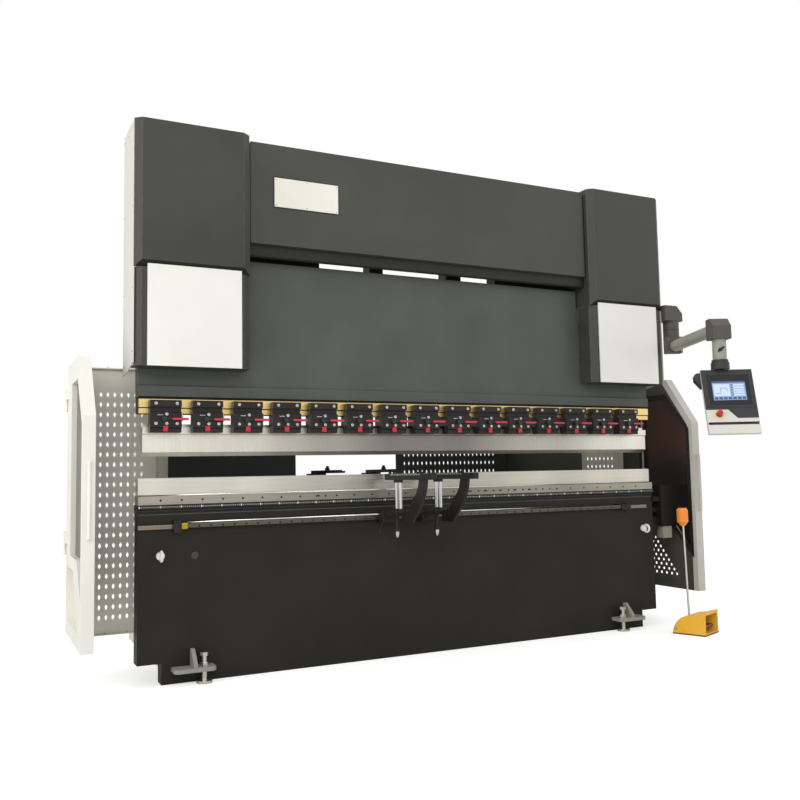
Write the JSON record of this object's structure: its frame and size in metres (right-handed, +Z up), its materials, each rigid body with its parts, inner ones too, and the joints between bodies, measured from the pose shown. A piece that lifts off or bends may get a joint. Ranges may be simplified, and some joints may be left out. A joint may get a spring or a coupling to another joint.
{
  "type": "press brake",
  "caption": "Hydraulic sheet bending press with vertical ram, clamped punch over a vee die, side guards, swinging operator pendant and separate foot switch.",
  "frame": {"origin": "floor level at the middle of the foot of the bed", "axes": "+Z up, +X along the bed to the viewer's right, -Y towards the operator"},
  "size_m": [3.774, 2.4245, 2.725],
  "materials": {
    "dark_paint": "textured powder coat",
    "bed_paint": "textured powder coat",
    "ram_paint": "textured powder coat",
    "white_paint": "satin",
    "light_paint": "satin",
    "grey_paint": "satin",
    "black_metal": "matt",
    "steel": "ground",
    "chrome": "polished",
    "brass": "machined",
    "rail_metal": "ground",
    "window": "tinted",
    "arm_plastic": "matt",
    "tube_paint": "painted",
    "box_paint": "matt",
    "red": "gloss",
    "orange": "moulded",
    "pedal": "matt"
  },
  "bodies": {
    "machine": {"bed_plate": "bed_paint", "crowning_channel": "black_metal", "die_holder": "steel", "die": "steel", "front_rail": "rail_metal", "rail_ends": "black_metal", "lifting_eyes": "chrome", "floor_feet": "bed_paint", "foot_screws": "steel", "machine_frame": "dark_paint", "crossbeam": "dark_paint", "cylinders": "dark_paint", "upper_covers": "dark_paint", "lower_covers": "dark_paint", "white_panels": "white_paint", "cover_sides": "light_paint", "perforated_panels": "grey_paint", "crowning_drive": "black_metal", "rear_guard": "dark_paint", "gauge_rails": "steel", "pendant_bracket": "arm_plastic", "foot_hood": "orange", "foot_rod": "chrome"},
    "ram": {"ram": "ram_paint", "rods": "chrome", "tool_beam": "black_metal", "brass_strips": "brass", "clamps": "black_metal", "punch": "steel"},
    "guard_left": {"guard_left": "light_paint", "window_left": "window"},
    "guard_right": {"guard_right": "light_paint", "window_right": "window"},
    "gauge": {"gauge_beam": "dark_paint"},
    "finger_left": {"finger_left": "black_metal"},
    "finger_right": {"finger_right": "black_metal"},
    "support_left": {"support_left": "black_metal"},
    "support_right": {"support_right": "black_metal"},
    "pendant_arm": {"pendant_arm": "arm_plastic", "arm_tube": "tube_paint"},
    "pendant_head": {"pendant_drop": "tube_paint", "pendant_box": "box_paint"},
    "stop_button": {"stop_button": "red"},
    "foot_pedal": {"foot_pedal": "pedal"},
    "lever_01": {"lever_01": "red"},
    "lever_02": {"lever_02": "red"},
    "lever_03": {"lever_03": "red"},
    "lever_04": {"lever_04": "red"},
    "lever_05": {"lever_05": "red"},
    "lever_06": {"lever_06": "red"},
    "lever_07": {"lever_07": "red"},
    "lever_08": {"lever_08": "red"},
    "lever_09": {"lever_09": "red"},
    "lever_10": {"lever_10": "red"},
    "lever_11": {"lever_11": "red"},
    "lever_12": {"lever_12": "red"},
    "lever_13": {"lever_13": "red"},
    "lever_14": {"lever_14": "red"},
    "lever_15": {"lever_15": "red"}
  },
  "joints": [
    {"name": "ram_slide", "type": "slide", "parent": "machine", "child": "ram", "axis": [0, 0, -1], "range_m": [0, 0.1]},
    {"name": "guard_left_hinge", "type": "hinge", "parent": "machine", "child": "guard_left", "pos_m": [-1.878, 0.479, 0.9], "axis": [0, 0, -1], "range_deg": [0, 90]},
    {"name": "guard_right_hinge", "type": "hinge", "parent": "machine", "child": "guard_right", "pos_m": [1.878, 0.479, 0.9], "axis": [0, 0, 1], "range_deg": [0, 90]},
    {"name": "gauge_slide", "type": "slide", "parent": "machine", "child": "gauge", "axis": [0, 1, 0], "range_m": [-0.09, 0.5]},
    {"name": "finger_left_slide", "type": "slide", "parent": "gauge", "child": "finger_left", "axis": [1, 0, 0], "range_m": [-0.7, 0.1]},
    {"name": "finger_right_slide", "type": "slide", "parent": "gauge", "child": "finger_right", "axis": [1, 0, 0], "range_m": [-0.1, 1.1]},
    {"name": "support_left_slide", "type": "slide", "parent": "machine", "child": "support_left", "axis": [1, 0, 0], "range_m": [-0.95, 0.05]},
    {"name": "support_right_slide", "type": "slide", "parent": "machine", "child": "support_right", "axis": [1, 0, 0], "range_m": [-0.05, 1.25]},
    {"name": "pendant_arm_swing", "type": "hinge", "parent": "machine", "child": "pendant_arm", "pos_m": [1.735, -0.14, 1.85], "axis": [0, 0, 1], "range_deg": [-20, 80]},
    {"name": "pendant_turn", "type": "hinge", "parent": "pendant_arm", "child": "pendant_head", "pos_m": [1.43076, -0.82333, 1.7], "axis": [0, 0, 1], "range_deg": [-80, 80]},
    {"name": "stop_button_press", "type": "slide", "parent": "pendant_head", "child": "stop_button", "axis": [0.4755, 0.8236, -0.309], "range_m": [0, 0.004], "stiffness_N_per_m": 800},
    {"name": "foot_pedal_press", "type": "hinge", "parent": "machine", "child": "foot_pedal", "pos_m": [1.57204, -0.29796, 0.033], "axis": [0.9272, 0.3746, 0], "range_deg": [0, 8], "stiffness_Nm_per_rad": 40, "springref_deg": -5.73},
    {"name": "lever_01_turn", "type": "hinge", "parent": "ram", "child": "lever_01", "pos_m": [-1.488, -0.099, 1.27], "axis": [0, 1, 0], "range_deg": [0, 70]},
    {"name": "lever_02_turn", "type": "hinge", "parent": "ram", "child": "lever_02", "pos_m": [-1.2828, -0.099, 1.27], "axis": [0, 1, 0], "range_deg": [0, 70]},
    {"name": "lever_03_turn", "type": "hinge", "parent": "ram", "child": "lever_03", "pos_m": [-1.0776, -0.099, 1.27], "axis": [0, 1, 0], "range_deg": [0, 70]},
    {"name": "lever_04_turn", "type": "hinge", "parent": "ram", "child": "lever_04", "pos_m": [-0.8724, -0.099, 1.27], "axis": [0, 1, 0], "range_deg": [0, 70]},
    {"name": "lever_05_turn", "type": "hinge", "parent": "ram", "child": "lever_05", "pos_m": [-0.6672, -0.099, 1.27], "axis": [0, 1, 0], "range_deg": [0, 70]},
    {"name": "lever_06_turn", "type": "hinge", "parent": "ram", "child": "lever_06", "pos_m": [-0.462, -0.099, 1.27], "axis": [0, 1, 0], "range_deg": [0, 70]},
    {"name": "lever_07_turn", "type": "hinge", "parent": "ram", "child": "lever_07", "pos_m": [-0.2568, -0.099, 1.27], "axis": [0, 1, 0], "range_deg": [0, 70]},
    {"name": "lever_08_turn", "type": "hinge", "parent": "ram", "child": "lever_08", "pos_m": [-0.0516, -0.099, 1.27], "axis": [0, 1, 0], "range_deg": [0, 70]},
    {"name": "lever_09_turn", "type": "hinge", "parent": "ram", "child": "lever_09", "pos_m": [0.1536, -0.099, 1.27], "axis": [0, 1, 0], "range_deg": [0, 70]},
    {"name": "lever_10_turn", "type": "hinge", "parent": "ram", "child": "lever_10", "pos_m": [0.3588, -0.099, 1.27], "axis": [0, 1, 0], "range_deg": [0, 70]},
    {"name": "lever_11_turn", "type": "hinge", "parent": "ram", "child": "lever_11", "pos_m": [0.564, -0.099, 1.27], "axis": [0, 1, 0], "range_deg": [0, 70]},
    {"name": "lever_12_turn", "type": "hinge", "parent": "ram", "child": "lever_12", "pos_m": [0.7692, -0.099, 1.27], "axis": [0, 1, 0], "range_deg": [0, 70]},
    {"name": "lever_13_turn", "type": "hinge", "parent": "ram", "child": "lever_13", "pos_m": [0.9744, -0.099, 1.27], "axis": [0, 1, 0], "range_deg": [0, 70]},
    {"name": "lever_14_turn", "type": "hinge", "parent": "ram", "child": "lever_14", "pos_m": [1.1796, -0.099, 1.27], "axis": [0, 1, 0], "range_deg": [0, 70]},
    {"name": "lever_15_turn", "type": "hinge", "parent": "ram", "child": "lever_15", "pos_m": [1.3848, -0.099, 1.27], "axis": [0, 1, 0], "range_deg": [0, 70]}
  ]
}
